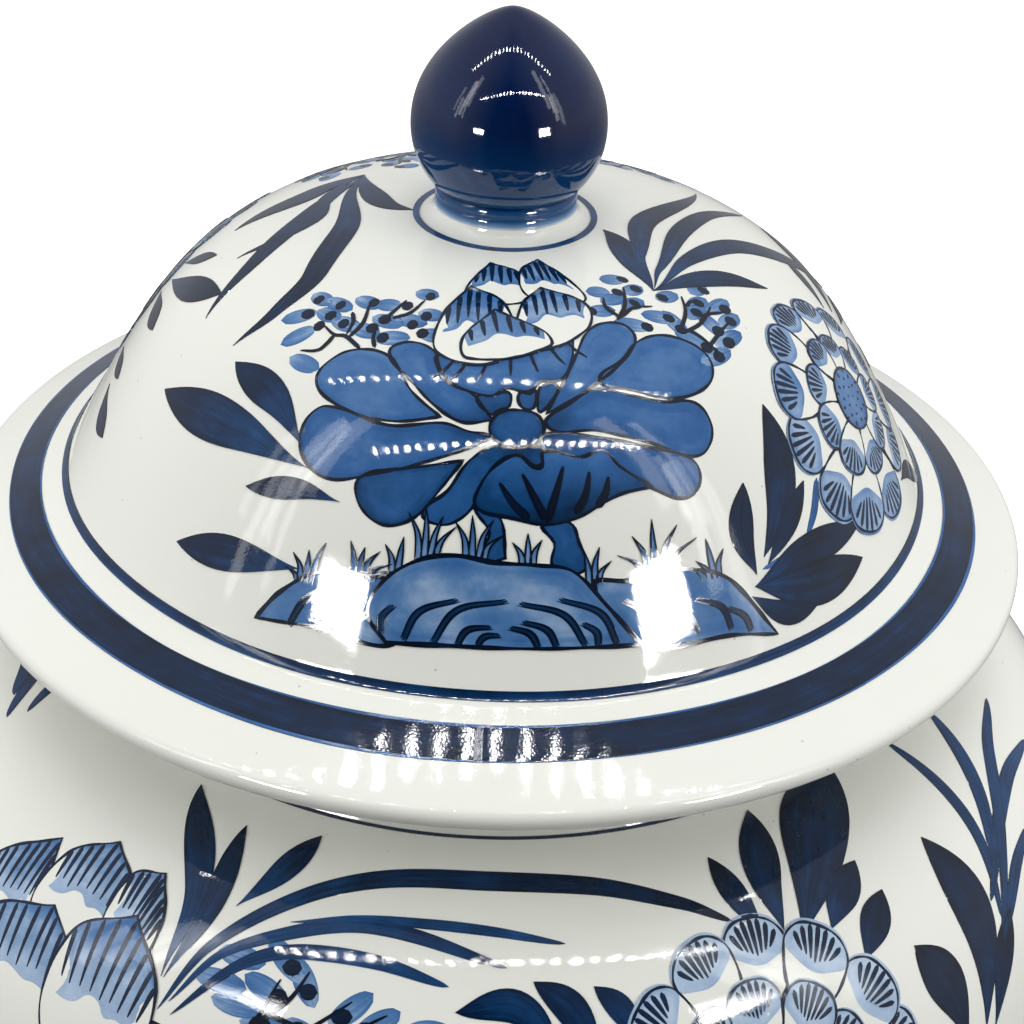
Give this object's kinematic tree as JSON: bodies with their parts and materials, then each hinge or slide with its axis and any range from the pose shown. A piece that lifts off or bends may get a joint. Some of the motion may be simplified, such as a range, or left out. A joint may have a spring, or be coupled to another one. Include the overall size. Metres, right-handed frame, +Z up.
{
  "type": "ginger jar",
  "caption": "Lidded porcelain ginger jar with a full belly, a short neck, a foot ring, and a domed lid with a wide brim and a bud knob that lifts straight off.",
  "frame": {"origin": "centre of the foot ring, on the plane that the jar stands on", "axes": "+Z up along the axis that the jar is turned about, -Y towards the painted front"},
  "size_m": [0.277, 0.277, 0.3994],
  "materials": {
    "white_glaze": "clear gloss glaze over warm white porcelain",
    "cobalt_glaze": "cobalt blue under a clear gloss glaze",
    "bare_porcelain": "unglazed, matt"
  },
  "bodies": {
    "jar": {"jar_body": "white_glaze", "neck_ring": "white_glaze", "foot_ring": "bare_porcelain"},
    "lid": {"lid_shell": "white_glaze", "lid_collar": "bare_porcelain", "knob": "cobalt_glaze"}
  },
  "joints": [
    {"name": "lid_lift", "type": "slide", "parent": "jar", "child": "lid", "axis": [0, 0, 1], "range_m": [0, 0.15]}
  ]
}
